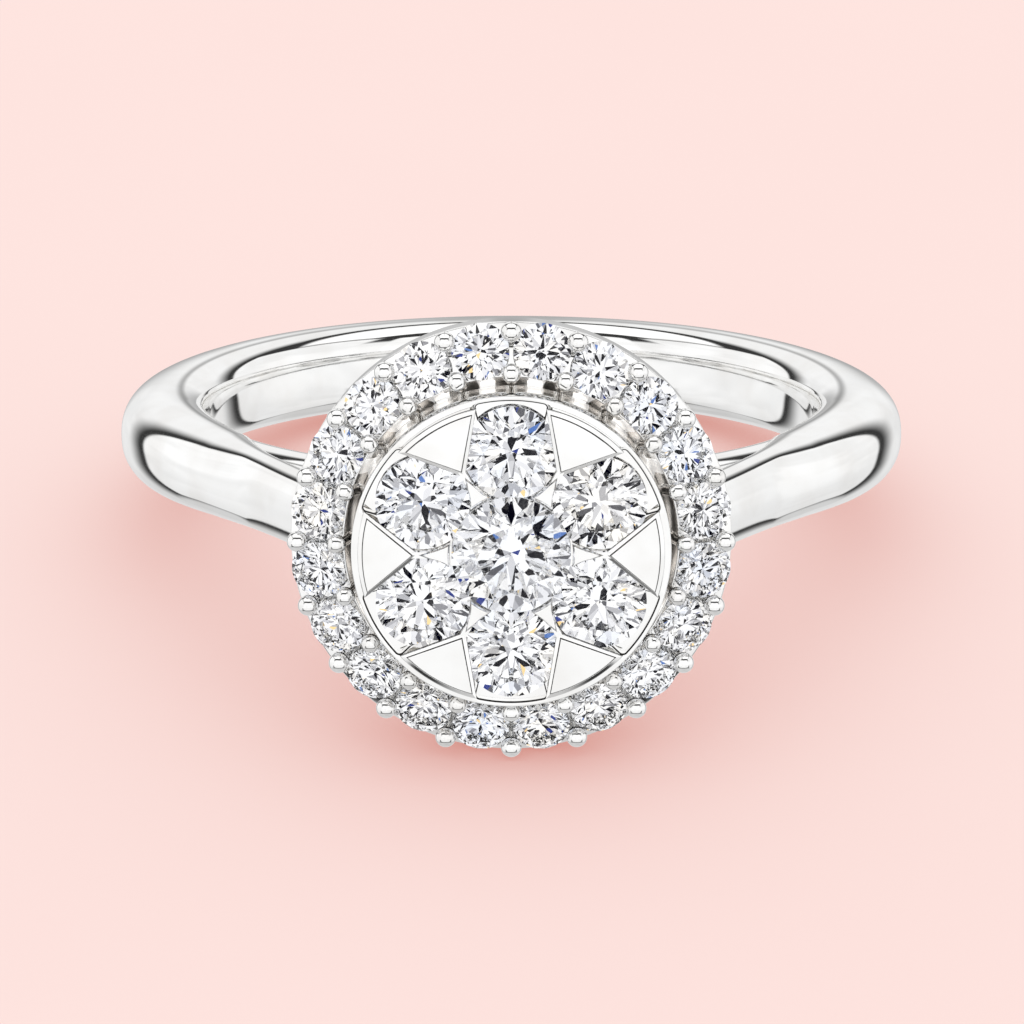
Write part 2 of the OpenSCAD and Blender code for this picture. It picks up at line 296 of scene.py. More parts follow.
class Wire:
    """One socket of a shader tree. Arithmetic on it adds Math nodes."""

    def __init__(self, shader, socket):
        self.shader = shader
        self.socket = socket

    def math(self, operation, *values):
        return self.shader.add("ShaderNodeMath", {"operation": operation}, dict(enumerate(values)))

    def __add__(self, other):
        return self.math("ADD", self, other)

    def __sub__(self, other):
        return self.math("SUBTRACT", self, other)

    def __rsub__(self, other):
        return self.math("SUBTRACT", other, self)

    def __mul__(self, other):
        return self.math("MULTIPLY", self, other)

    def __neg__(self):
        return self.math("MULTIPLY", self, -1.0)

    def __truediv__(self, other):
        return self.math("DIVIDE", self, other)

    __radd__ = __add__
    __rmul__ = __mul__

    def least(self, other):
        return self.math("MINIMUM", self, other)

    def most(self, other):
        return self.math("MAXIMUM", self, other)

    def between(self, low, high, to_low=0.0, to_high=1.0):
        """This value, eased from low and high to to_low and to_high."""
        return self.shader.add(
            "ShaderNodeMapRange",
            {"interpolation_type": "SMOOTHSTEP"},
            {"Value": self, "From Min": low, "From Max": high, "To Min": to_low, "To Max": to_high},
        )

    def dot(self, direction):
        """The dot product of this vector with a constant one."""
        return self.shader.add(
            "ShaderNodeVectorMath", {"operation": "DOT_PRODUCT"}, {0: self, 1: tuple(direction)}, "Value"
        )


class Shader:
    """A node tree that is being filled."""

    def __init__(self, owner):
        owner.use_nodes = True
        self.tree = owner.node_tree
        self.tree.nodes.clear()

    def add(self, kind, settings=None, values=None, output=0):
        """Adds a node of a kind, sets its settings and then its values or links, and returns one output."""
        node = self.tree.nodes.new(kind)
        for name, value in (settings or {}).items():
            if name == "stops":
                node.color_ramp.interpolation = "CONSTANT"
                for stop, (position, shade) in zip(self.ramp_stops(node, len(value)), value):
                    stop.position = position
                    stop.color = (*shade, 1)
            else:
                setattr(node, name, value)
        for name, value in (values or {}).items():
            if isinstance(value, Wire):
                self.tree.links.new(value.socket, node.inputs[name])
            elif isinstance(value, tuple) and node.inputs[name].type == "RGBA":
                node.inputs[name].default_value = (*value, 1)
            else:
                node.inputs[name].default_value = value
        return Wire(self, node.outputs[output]) if len(node.outputs) else None

    @staticmethod
    def ramp_stops(node, count):
        stops = node.color_ramp.elements
        while len(stops) < count:
            stops.new(1)
        return stops

    def noise(self, place, scale, detail=2.0):
        return self.add(
            "ShaderNodeTexNoise",
            {"noise_dimensions": "3D"},
            {"Vector": place, "Scale": scale, "Detail": detail, "Roughness": 0.55},
            "Fac",
        )

    def stretch(self, place, scale):
        """Coordinates scaled apart along X, Y and Z."""
        return self.add("ShaderNodeVectorMath", {"operation": "MULTIPLY"}, {0: place, 1: scale}, "Vector")

    def blend(self, factor, a, b):
        """A colour between two others."""
        return self.add(
            "ShaderNodeMix", {"data_type": "RGBA", "clamp_factor": True}, {0: factor, 6: a, 7: b}, 2
        )

    def shaded(self, values):
        """A Principled surface."""
        return self.add("ShaderNodeBsdfPrincipled", None, values, "BSDF")

    def finish(self, surface, kind="ShaderNodeOutputMaterial"):
        self.add(kind, None, {"Surface": surface})


def object_place(shader):
    return shader.add("ShaderNodeTexCoord", None, None, "Object")


def polished_metal(name, colours, rough, grain, lines):
    """White gold: rough is its least roughness, grain its waves' size in millimetres, and lines
    how far its hairlines stretch along X, Y and Z."""
    made = bpy.data.materials.new(name)
    shader = Shader(made)
    place = object_place(shader)
    waves = shader.noise(place, 1 / (grain * MM), 3.0)
    hairs = shader.noise(shader.stretch(place, lines), 1 / HAIR_WIDTH, 2.0)
    wear = shader.noise(place, 1 / WEAR_SIZE, 2.0)
    # The face mark read here sets roughness and also picks painted light and shade: faces inside the halo are
    # painted paler, and marked bands are painted dark as shade.
    dull = shader.add("ShaderNodeAttribute", {"attribute_name": "dull"}, None, "Fac")
    clean = shader.blend(wear.between(0.35, 0.75), tuple(colours.metal), tuple(colours.metal_shade))
    painted_gallery_light = shader.blend(dull.between(0.0, GALLERY_DULL_PAINTED_LIGHT), clean, tuple(colours.gallery))
    tint = shader.blend(dull.between(0.5, 1.0), painted_gallery_light, tuple(colours.crevice))
    roughness = rough + 0.03 * wear + 0.025 * hairs + 0.6 * dull
    # Painted light: the gallery's upper wall glows, though no lamp is there.
    painted_glow_faces = dull.between(GALLERY_DULL_PAINTED_LIGHT, GLOW_DULL) - dull.between(GLOW_DULL, 0.3)
    glow = shader.blend(painted_glow_faces, (0.0, 0.0, 0.0), tuple(GALLERY_GLOW * v for v in colours.gallery))
    relief = shader.add(
        "ShaderNodeBump",
        None,
        {"Height": 0.7 * waves + 0.3 * hairs, "Strength": 0.12, "Distance": RELIEF_DEPTH},
        "Normal",
    )
    values = {"Base Color": tint, "Roughness": roughness, "Metallic": 1.0, "Normal": relief}
    values |= {"Emission Color": glow, "Emission Strength": 1.0}
    shader.finish(shader.shaded(values))
    return made


def cut_stone(name, colours):
    """Diamond: clear and very refractive. A value on each facet moves its tint from warm to cool: painted
    fire, colour that stands in for the light that the stone splits.
    """
    made = bpy.data.materials.new(name)
    shader = Shader(made)
    facet = shader.add("ShaderNodeAttribute", {"attribute_name": "facet"}, None, "Fac")
    dust = shader.noise(object_place(shader), 1 / (0.04 * MM), 1.0)
    body = tuple(colours.stone)
    cool = shader.blend(facet.between(0.8, 1.0), body, tuple(colours.cool_fire))
    tint = shader.blend(facet.between(0.2, 0.0), cool, tuple(colours.warm_fire))
    values = {"Base Color": tint, "Roughness": 0.006 * dust, "IOR": 2.417, "Transmission Weight": 1.0}
    values |= {"Specular Tint": (0.14, 0.14, 0.14)}
    shader.finish(shader.shaded(values))
    return made


def material(name, make, *values):
    """A material by name, made the first time that it is asked for."""
    return bpy.data.materials.get(name) or make(name, *values)


def mirror_gold(context):
    colours = context.scene.halo_ring_colours
    return material("mirror_white_gold", polished_metal, colours, 0.03, 1.6, (0.12, 0.12, 1))


def bead_gold(context):
    colours = context.scene.halo_ring_colours
    return material("burnished_white_gold", polished_metal, colours, 0.025, 0.6, (1, 1, 1))


def bright_cut_gold(context):
    colours = context.scene.halo_ring_colours
    return material("bright_cut_white_gold", polished_metal, colours, 0.03, 2.0, (1, 0.15, 1))


# Meshes


def new_mesh():
    """An empty mesh whose faces carry a mark for roughness and for painted light and shade: 0 is polished,
    the gallery levels are the metal inside the halo, painted paler, with a painted glow on its upper wall,
    and 1 is painted crevice shade."""
    bm = bmesh.new()
    bm.faces.layers.float.new("dull")
    return bm


def add_loft(bm, rings, matrix=None, dark=()):
    """Joins rings of points into a skin. Each ring has the same number of points, and all turn the same way.
    The bands between rings whose numbers are in dark are painted dark, as shade."""
    matrix = matrix or Matrix()
    dull = bm.faces.layers.float["dull"]
    loops = [[bm.verts.new(matrix @ Vector(p)) for p in ring] for ring in rings]
    count = len(rings[0])
    for band, (low, high) in enumerate(zip(loops, loops[1:])):
        for k in range(count):
            face = bm.faces.new((low[k], low[(k + 1) % count], high[(k + 1) % count], high[k]))
            face[dull] = float(band in dark)
    bm.faces.new(list(reversed(loops[0])))
    bm.faces.new(loops[-1])


def add_lathe(bm, profile, steps, matrix=None, dark=()):
    """Turns a closed profile of (radius, height) points round Z. Points on the axis become one point each.
    The bands between points whose numbers are in dark are painted dark, as shade."""
    matrix = matrix or Matrix()
    dull = bm.faces.layers.float.get("dull")
    columns = []
    for r, z in profile:
        if r < 1e-9:
            columns.append([bm.verts.new(matrix @ Vector((0, 0, z)))] * steps)
        else:
            turns = (k * TURN / steps for k in range(steps))
            points = (Vector((r * math.cos(t), r * math.sin(t), z)) for t in turns)
            columns.append([bm.verts.new(matrix @ point) for point in points])
    for band, (low, high) in enumerate(zip(columns, columns[1:] + columns[:1])):
        for k in range(steps):
            corners = []
            for vert in (low[k], low[(k + 1) % steps], high[(k + 1) % steps], high[k]):
                if vert not in corners:
                    corners.append(vert)
            if len(corners) > 2:
                face = bm.faces.new(corners)
                if band in dark:
                    face[dull] = 1.0


def rounded(profile, radii, steps=5):
    """A closed profile whose corners are eased by radii, one for each corner."""
    points = []
    count = len(profile)
    for k, radius in enumerate(radii):
        here = Vector(profile[k])
        if not radius:
            points.append(tuple(here))
            continue
        before = (Vector(profile[k - 1]) - here).normalized() * radius
        after = (Vector(profile[(k + 1) % count]) - here).normalized() * radius
        for j in range(steps + 1):
            t = j / steps
            points.append(tuple(here + before * (1 - t) ** 2 + after * t**2))
    return points


def mesh_from(bm, name):
    bmesh.ops.recalc_face_normals(bm, faces=bm.faces)
    mesh = bpy.data.meshes.new(name)
    bm.to_mesh(mesh)
    bm.free()
    return mesh


def cut(obj, cutters, name, dullness_and_painted_shading=None):
    """Cuts a mesh of cutters out of an object, and gives the faces that they leave this mark for roughness
    and for painted light and shade.
    """
    if dullness_and_painted_shading is not None:
        for face in cutters.faces:
            face[cutters.faces.layers.float["dull"]] = dullness_and_painted_shading
    tool = bpy.data.objects.new(name, mesh_from(cutters, name))
    bpy.context.scene.collection.objects.link(tool)
    modifier = obj.modifiers.new(name, "BOOLEAN")
    modifier.operation = "DIFFERENCE"
    modifier.solver = "EXACT"
    modifier.object = tool
    view = bpy.context.evaluated_depsgraph_get()
    mesh = bpy.data.meshes.new_from_object(obj.evaluated_get(view))
    obj.modifiers.clear()
    old = obj.data
    obj.data = mesh
    bpy.data.meshes.remove(old)
    bpy.data.objects.remove(tool)
    if not len(mesh.polygons):
        raise RuntimeError(f"{name} left nothing of {obj.name}")


def dull_with_painted_light(obj, dullness_and_painted_shading, chosen):
    """Raises the mark for roughness and for painted light and shade on the faces of an object whose middles,
    as radius and height, are chosen.
    """
    values = obj.data.attributes["dull"].data
    for face, value in zip(obj.data.polygons, values):
        x, y, z = face.center
        if value.value < dullness_and_painted_shading and chosen(math.hypot(x, y), z):
            value.value = dullness_and_painted_shading


def new_object(bm, name):
    obj = bpy.data.objects.new(name, mesh_from(bm, name))
    bpy.context.scene.collection.objects.link(obj)
    return obj


def settle(obj, finish, matrix=None, sharp=35, node=SETTING):
    """Puts a finished piece on the ring's body, with its finish and smooth faces between sharp edges."""
    mesh = obj.data
    if matrix:
        mesh.transform(matrix)
    mesh.materials.clear()
    mesh.materials.append(finish)
    mesh.polygons.foreach_set("use_smooth", [sharp is not None] * len(mesh.polygons))
    if sharp is not None:
        mesh.set_sharp_from_angle(angle=math.radians(sharp))
    mesh.update()
    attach(obj, "root")
    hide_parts(node)
    return obj


# Shank and bridge. Angles run from the head's axis, 180 is the back of the band


def line_radius(angle, distance):
    return distance / cos(SHOULDER_LEAN - angle)


def band_section(sizes, angle):
    """Inner radius, outer radius and width of the band at an angle from the head."""
    bore = sizes.finger_r - BAND_CROWN
    shoulder = sizes.finger_r + SHOULDER_OUT
    if angle > 90:
        outer = mix(sizes.side_r, sizes.back_r, smooth((angle - 90) / 90))
        return bore, outer, mix(sizes.side_w, sizes.back_w, smooth((angle - 90) / 60))
    outer = mix(sizes.finger_r + WAIST_WALL, sizes.side_r, smooth((angle - WAIST_AT) / 40))
    ease = SHOULDER_EASE * smooth((80 - angle) / 20)
    outer = soft_max(outer, line_radius(min(angle, SHOULDER_LEAN), shoulder), ease)
    if angle < SHOULDER_LEAN:
        outer = min(outer, (sizes.halo_z + HALO_FOOT - 0.02) / cos(angle))
    inner = bore
    if angle <= SPLIT[0]:
        inside = line_radius(angle, shoulder - SHOULDER_WALL)
        inner = mix(bore, inside, smooth((SPLIT[0] - angle) / (SPLIT[0] - SPLIT[1])))
    return inner, outer, mix(sizes.shoulder_w, sizes.side_w, smooth((angle - 28) / 50))


def section_ring(sizes, angle, inner, outer, width, sides):
    """Points of a rounded section at an angle from the head, eased where the finger hole cuts it."""
    ring = []
    lift = soft_max(inner, sizes.finger_r, BORE_EASE) - max(inner, sizes.finger_r)
    for k in range(sides):
        turn = TURN * k / sides
        r = (inner + outer) / 2 + (outer - inner) / 2 * signed_power(math.cos(turn), 2 / ROUND_POWER)
        z = -width / 2 * signed_power(math.sin(turn), 2 / ROUND_POWER)
        r = soft_max(r, sizes.finger_r, BORE_EASE) - lift * (outer - r) / (outer - inner)
        ring.append((r * sin(angle), -r * cos(angle), z))
    return ring


class HALORING_OT_shank(bpy.types.Operator):
    """Adds the band with its two shoulders"""

    bl_idname = "haloring.shank"
    bl_label = "Shank"

    def execute(self, context):
        sizes = Sizes(context)
        steps, sides = 320, 72
        rings = []
        for k in range(steps + 1):
            angle = mix(SHANK_TIP, 360 - SHANK_TIP, k / steps)
            inner, outer, width = band_section(sizes, min(angle, 360 - angle))
            rings.append(section_ring(sizes, angle, inner, outer, width, sides))
        bm = new_mesh()
        add_loft(bm, rings)
        settle(new_object(bm, "shank"), mirror_gold(context), RING, 50)
        return {"FINISHED"}


class HALORING_OT_bridge(bpy.types.Operator):
    """Adds the thin arc that closes the finger hole under the head, and the peg that carries the cup"""

    bl_idname = "haloring.bridge"
    bl_label = "Bridge"

    def execute(self, context):
        sizes = Sizes(context)
        steps, sides = 180, 48
        inner, outer = sizes.finger_r - BRIDGE_CROWN, sizes.finger_r + sizes.bridge_t
        rings = []
        for k in range(steps + 1):
            angle = mix(-BRIDGE_REACH, BRIDGE_REACH, k / steps)
            rings.append(section_ring(sizes, angle, inner, outer, sizes.bridge_w, sides))
        bm = new_mesh()
        add_loft(bm, rings)
        low, high = outer - 0.4, sizes.halo_z + FLOOR_Z - FLOOR_T + 0.15
        neck = [(mix(*PEG, (k / 12) ** 1.6), mix(low, high, k / 12)) for k in range(13)]
        upright = Matrix.Rotation(math.pi / 2, 4, "X")
        add_lathe(bm, [(0, low), *neck, (0, high)], 72, upright)
        settle(new_object(bm, "bridge"), mirror_gold(context), RING, 50)
        return {"FINISHED"}


# Seats for the stones


def crown_height(d, inset):
    return GIRDLE_SHARE * d / 2 + inset * tan(CROWN_ANGLE)


def pavilion_height(d, inset):
    return -GIRDLE_SHARE * d / 2 - inset * tan(PAVILION_ANGLE)


def add_seat(bm, d, hole, matrix, steps=48):
    """A hollow for a stone with a small gap all round, open above and drilled on below."""
    hole_r, depth = hole
    rim = d / 2 + SEAT_GAP
    slant = SEAT_GAP / cos(PAVILION_ANGLE)
    profile = [
        (0, 1),
        (rim, 1),
        (rim, pavilion_height(d, -SEAT_GAP) - slant),
        (hole_r, pavilion_height(d, d / 2 - hole_r) - slant),
    ]
    if hole_r:
        profile += [(hole_r, -depth), (0, -depth)]
    add_lathe(bm, profile, steps, matrix)


def add_box(bm, low, high, matrix):
    base = ((low[0], low[1]), (high[0], low[1]), (high[0], high[1]), (low[0], high[1]))
    add_loft(bm, [[(x, y, z) for x, y in base] for z in (low[2], high[2])], matrix)


def add_window(bm, matrix):
    """What is cut out for one window of the gallery."""
    width, height, low = WINDOW
    start, end = WINDOW_REACH
    add_box(bm, (start, -width / 2, low), (end, width / 2, low + height), matrix)


def add_sill(bm, matrix):
    """The bright sill of a window, which falls outward."""
    inner, outer, width, top, fall = SILL
    side = [(inner, top), (outer, top - fall), (outer, top - fall - SILL_T), (inner, top - SILL_T)]
    add_loft(bm, [[(r, y, z) for r, z in side] for y in (-width / 2, width / 2)], matrix)


class HALORING_OT_halo(bpy.types.Operator):
    """Adds the halo's conical ring with its wall, seats and windowed inside"""

    bl_idname = "haloring.halo"
    bl_label = "Halo ring"

    def execute(self, context):
        sizes = Sizes(context)
        wall = sizes.halo_wall_r
        rim_r = sizes.halo_r + sizes.halo_stone_d / 2 * cos(sizes.halo_slope) - RIM_INSET
        rim_end, rim_foot = rim_r - RIM_WIDTH, rim_r - RIM_WIDTH - 0.1
        profile = [
            (wall, sizes.land(rim_r)),
            (rim_r, sizes.land(rim_r) + 0.07),
            (rim_r, sizes.land(rim_r) + RIM_LIFT),
            (rim_end, sizes.land(rim_end) + RIM_LIFT),
            (rim_foot, sizes.land(rim_foot)),
            (FUNNEL[0], sizes.land(FUNNEL[0])),
            (FUNNEL[1], FLOOR_Z),
            (0, FLOOR_Z),
            (0, FLOOR_Z - FLOOR_T),
            (BASKET_R, FLOOR_Z - FLOOR_T),
            (wall - 0.12, HALO_FOOT - 0.12),
            (wall, HALO_FOOT),
        ]
        bm = new_mesh()
        add_lathe(bm, rounded(profile, (0.03, 0.03, 0.03, 0.03, 0, 0.05, 0, 0, 0, 0.15, 0.04, 0.04)), 240)
        body = new_object(bm, "halo_ring")
        seats, windows, sills = new_mesh(), new_mesh(), new_mesh()
        for k in range(HALO_COUNT):
            angle = (k + 0.5) * 360 / HALO_COUNT
            closed = abs(sin(angle)) < sin(360 / HALO_COUNT)
            hole = (0, 0) if closed else HALO_HOLE
            add_seat(seats, sizes.halo_stone_d, hole, sizes.on_halo(angle, sizes.halo_r))
            if not closed:
                turn = Matrix.Rotation(math.radians(angle), 4, "Z")
                add_window(windows, turn)
                add_sill(sills, turn)
        cut(body, seats, "halo_seats")
        # The windows' faces and the gallery are painted paler, and the gallery's upper wall glows: painted
        # light where little light reaches.
        cut(body, windows, "halo_windows", GALLERY_DULL_PAINTED_LIGHT)
        dull_with_painted_light(body, GALLERY_DULL_PAINTED_LIGHT, lambda r, z: r < FUNNEL[0] - 0.02)
        dull_with_painted_light(body, GLOW_DULL, lambda r, z: r < FUNNEL[0] - 0.02 and z > GLOW_Z)
        settle(body, mirror_gold(context), sizes.head, 28)
        settle(new_object(sills, "window_sills"), mirror_gold(context), sizes.head, 28)
        return {"FINISHED"}


def add_bead(bm, sizes, angle, out, bead_r, post_r, lift):
    """A bead prong: a ball on a short post."""
    start = math.acos(-math.sqrt(1 - (post_r / bead_r) ** 2))
    turns = [mix(start, 0, k / (BEAD_STEPS + 1)) for k in range(BEAD_STEPS + 1)]
    ball = [(bead_r * math.sin(t), lift + bead_r * math.cos(t)) for t in turns]
    profile = [(0, POST_FOOT), (post_r, POST_FOOT), *ball, (0, lift + bead_r)]
    # Some bands of the ball, just below its middle, are painted dark: painted shade.
    add_lathe(bm, profile, 48, sizes.on_halo(angle, sizes.halo_r + out), BEAD_SHADE_BANDS)


class HALORING_OT_beads(bpy.types.Operator):
    """Adds the two rings of bead prongs that hold the halo stones"""

    bl_idname = "haloring.beads"
    bl_label = "Bead prongs"

    def execute(self, context):
        sizes = Sizes(context)
        for name, row in (("outer_beads", OUTER_BEADS), ("inner_beads", INNER_BEADS)):
            bm = new_mesh()
            for k in range(HALO_COUNT):
                add_bead(bm, sizes, k * 360 / HALO_COUNT, *row)
            settle(new_object(bm, name), bead_gold(context), sizes.head, 60)
        return {"FINISHED"}


class HALORING_OT_cup(bpy.types.Operator):
    """Adds the cluster's cup with its rim, pockets and seats"""

    bl_idname = "haloring.cup"
    bl_label = "Cluster cup"

    def execute(self, context):
        sizes = Sizes(context)
        rim_z = sizes.cluster_rise + 0.02
        profile = [
            (0, FLOOR_Z - 0.1),
            (CUP_BASE_R, FLOOR_Z - 0.1),
            (sizes.cup_r, CUP_BAND),
            (sizes.cup_r, rim_z),
            (0, rim_z),
        ]
        bm = new_mesh()
        add_lathe(bm, rounded(profile, (0, 0, 0.1, 0.03, 0)), 240)
        body = new_object(bm, "cluster_cup")
        seats, pockets, middle = new_mesh(), new_mesh(), new_mesh()
        for k in range(CLUSTER_COUNT):
            add_seat(seats, sizes.cluster_stone_d, CLUSTER_HOLE, sizes.on_cluster(k))
            add_pocket(pockets, sizes, (k + 0.5) * 360 / CLUSTER_COUNT)
        lifted = Matrix.Translation((0, 0, sizes.cluster_rise + CENTRE_LIFT))
        add_seat(middle, sizes.centre_stone_d, CENTRE_HOLE, lifted)
        cut(body, seats, "cluster_seats")
        cut(body, pockets, "rim_pockets")
        cut(body, middle, "centre_seat")
        # The cup's wall below its band is painted paler: painted light.
        dull_with_painted_light(body, GALLERY_DULL_PAINTED_LIGHT, lambda r, z: z < CUP_BAND)
        settle(body, bright_cut_gold(context), sizes.head, 28)
        return {"FINISHED"}


def pocket_outline(flare):
    """Outline of a pocket as (radius, angle) points, with round outer corners, and made larger by a flare."""
    low_r, high_r, half, _ = POCKET
    corner = POCKET_CORNER + flare
    high_r += flare
    half += math.degrees(flare / high_r)
    turn = math.degrees(corner / high_r)
    outline = [(low_r, -half), (low_r, half)]
    for k in range(9):
        t = k / 8 * 90
        outline.append((high_r - corner + corner * sin(t), half - turn + turn * cos(t)))
    outline += [(high_r, mix(half - turn, turn - half, k / 24)) for k in range(1, 24)]
    for k in range(9):
        t = 90 - k / 8 * 90
        outline.append((high_r - corner + corner * sin(t), turn - half - turn * cos(t)))
    return outline


def add_pocket(bm, sizes, angle):
    """A lowered place in the cup's rim beside a stone, with rounded corners and edges."""
    rim = sizes.cluster_rise + 0.02
    levels = [(sizes.cluster_rise - POCKET[3], 0)]
    for k in range(6):
        t = k / 5 * 90
        levels.append((rim - POCKET_ROUND * (1 - sin(t)), POCKET_ROUND * (1 - cos(t))))
    levels.append((rim + 1, POCKET_ROUND))
    rings = []
    for z, flare in levels:
        rings.append([(r * cos(angle + a), r * sin(angle + a), z) for r, a in pocket_outline(flare)])
    # The pocket's walls are painted dark in bands: painted shade.
    add_loft(bm, rings, None, POCKET_DARK)


# Plates. Outlines are (radius, angle) points about the cluster's middle


def plate_outline(tip, arc, half, z):
    """Outline of a big plate: its tip, then its outer arc."""
    points = [(tip, 0)] + [(arc, mix(-half, half, k / 40)) for k in range(41)]
    return [(r * cos(a), r * sin(a), z) for r, a in points]


def lip_outline(inset, z):
    """Outline of a big plate's lip, drawn in for its bevel."""
    return plate_outline(PLATE_TIP + 1.5 * inset, PLATE_ARC - inset, PLATE_HALF - 18.6 * inset, z)


def small_outline(sizes, inset, z):
    """A small plate's outline: two sides hollowed by the outer stones, and one by the centre stone."""
    tip, arc, half = SMALL_TIP - 2.4 * inset, SMALL_ARC + inset, SMALL_HALF - 46 * inset
    corner = Vector((arc * cos(half), arc * sin(half)))
    end = Vector((tip, 0))
    keep = sizes.cluster_stone_d / 2 + SEAT_GAP + 0.6 * inset
    stone = Vector((sizes.cluster_r * cos(30), sizes.cluster_r * sin(30)))
    side = []
    for k in range(17):
        p = end.lerp(corner, k / 16)
        away = p - stone
        if away.length < keep:
            p = stone + away.normalized() * keep
        side.append(p)
    middle = [Vector((arc * cos(a), arc * sin(a))) for a in (half * (1 - k / 6) for k in range(1, 12))]
    points = side + middle + [Vector((p.x, -p.y)) for p in reversed(side[1:])]
    return [(p.x, p.y, z) for p in points]


def bevelled(low, top, bevel, ease):
    """Levels of a plate as (inset, height) points: its upright side, a bevel and a flat top, with both edges
    of the bevel eased."""
    slope = math.hypot(bevel, bevel)
    along = (bevel / slope, bevel / slope)
    corners = (((0, top - bevel), (0, -1), along), ((bevel, top), (-along[0], -along[1]), (1, 0)))
    levels = [(0, low)]
    for (inset, z), before, after in corners:
        for k in range(7):
            t = k / 6
            back, on = ease * (1 - t) ** 2, ease * t**2
            levels.append((inset + before[0] * back + after[0] * on, z + before[1] * back + after[1] * on))
    return levels


class HALORING_OT_plates(bpy.types.Operator):
    """Adds the big and small triangular plates between the cluster stones, and the necks that join them"""

    bl_idname = "haloring.plates"
    bl_label = "Cluster plates"

    def execute(self, context):
        sizes = Sizes(context)
        big, small = new_mesh(), new_mesh()
        for k in range(CLUSTER_COUNT):
            place = Matrix.Rotation(k * TURN / CLUSTER_COUNT, 4, "Z")
            place = place @ Matrix.Translation((0, 0, sizes.cluster_rise))
            foot = [plate_outline(*PLATE_FOOT, z) for z in (PLATE_ROOT, PLATE_LIP)]
            frame = rounded([(0, PLATE_LIP), *PLATE_FRAME], (0, 0.02, 0.004, 0.004, 0.012, 0), 4)
            # The frame's marked bands are painted dark: painted shade.
            add_loft(big, foot + [lip_outline(*level) for level in frame], place, FRAME_DARK)
            levels = bevelled(SMALL_PLATE_FOOT, PLATE_TOP, SMALL_PLATE_BEVEL, SMALL_PLATE_EASE)
            add_loft(small, [small_outline(sizes, *level) for level in levels], place)
            out, stem_r, low, high = STEM
            stem = place @ Matrix.Translation((out, 0, 0))
            add_lathe(small, [(0, low), (stem_r, low), (stem_r, high), (0, high)], 24, stem)
            add_box(small, *NECK, place)
        settle(new_object(big, "big_plates"), bright_cut_gold(context), sizes.head, 3)
        settle(new_object(small, "small_plates"), bright_cut_gold(context), sizes.head, 3)
        return {"FINISHED"}


# Stones


def facet_planes(d):
    """Three points of each of the 57 facets of a round brilliant."""
    r = d / 2
    table_r = r * TABLE_SHARE
    star_r = mix(table_r * cos(22.5), r, STAR_SHARE)
    lower_r = r * (1 - LOWER_SHARE)
    girdle = GIRDLE_SHARE * d / 2

    def at(radius, angle, z):
        return Vector((radius * cos(angle), radius * sin(angle), z))

    table = [at(table_r, 45 * k, crown_height(d, r - table_r)) for k in range(8)]
    star = [at(star_r, 45 * k + 22.5, crown_height(d, r - star_r * cos(22.5))) for k in range(8)]
    top = [at(r, 22.5 * k, girdle) for k in range(16)]
    bottom = [at(r, 22.5 * k, -girdle) for k in range(16)]
    lower = [at(lower_r, 45 * k + 22.5, pavilion_height(d, r - lower_r * cos(22.5))) for k in range(8)]
    culet = Vector((0, 0, pavilion_height(d, r)))
    planes = [(table[0], table[1], table[2])]
    for k in range(8):
        planes += [
            (table[k], table[(k + 1) % 8], star[k]),
            (table[k], star[k], top[2 * k]),
            (star[k], top[2 * k + 1], top[2 * k]),
            (star[k], top[(2 * k + 2) % 16], top[2 * k + 1]),
            (lower[k], bottom[2 * k], bottom[2 * k + 1]),
            (lower[k], bottom[2 * k + 1], bottom[(2 * k + 2) % 16]),
            (culet, lower[k - 1], bottom[2 * k]),
        ]
    return planes


def brilliant(d, steps=96):
    """A round brilliant cut from a cylinder, facet by facet, with a round girdle. Returns its bmesh."""
    bm = bmesh.new()
    add_lathe(bm, [(0, -d), (d / 2, -d), (d / 2, d), (0, d)], steps)
    for a, b, c in facet_planes(d):
        normal = (b - a).cross(c - a).normalized()
        if normal.dot(a) < 0:
            normal = -normal
        everything = bm.verts[:] + bm.edges[:] + bm.faces[:]
        done = bmesh.ops.bisect_plane(
            bm, geom=everything, dist=1e-6, plane_co=a, plane_no=normal, clear_outer=True
        )
        edges = [e for e in done["geom_cut"] if isinstance(e, bmesh.types.BMEdge)]
        bmesh.ops.contextual_create(bm, geom=edges)
    return bm


def add_stone(context, name, d, matrix, seed):
    bm = brilliant(d)
    bmesh.ops.recalc_face_normals(bm, faces=bm.faces)
    # A random value on each facet for its painted fire; the girdle's sides stay neutral.
    draw = random.Random(seed)
    layer = bm.faces.layers.float.new("facet")
    girdle = GIRDLE_SHARE * d
    for face in bm.faces:
        middle = face.calc_center_median()
        side = abs(face.normal.z) < 0.05 and abs(middle.z) < girdle
        face[layer] = 0.5 if side else draw.random()
    obj = new_object(bm, name)
    finish = material("cut_diamond", cut_stone, context.scene.halo_ring_colours)
    settle(obj, finish, matrix, None, name.replace("stone_piece", "stone"))


class HALORING_OT_stones(bpy.types.Operator):
    """Adds the centre stone, the six cluster stones and the twenty halo stones"""

    bl_idname = "haloring.stones"
    bl_label = "Stones"

    def execute(self, context):
        sizes = Sizes(context)
        lifted = Matrix.Translation((0, 0, sizes.cluster_rise + CENTRE_LIFT))
        stones = [("centre_stone_piece", sizes.centre_stone_d, lifted)]
        for k in range(CLUSTER_COUNT):
            stones.append((f"cluster_stone_piece_{k + 1}", sizes.cluster_stone_d, sizes.on_cluster(k)))
        for k in range(HALO_COUNT):
            place = sizes.on_halo((k + 0.5) * 360 / HALO_COUNT, sizes.halo_r)
            stones.append((f"halo_stone_piece_{k + 1:02d}", sizes.halo_stone_d, place))
        for seed, (name, d, place) in enumerate(stones):
            add_stone(context, name, d, sizes.head @ place, seed)
        return {"FINISHED"}


# Ground, light and camera

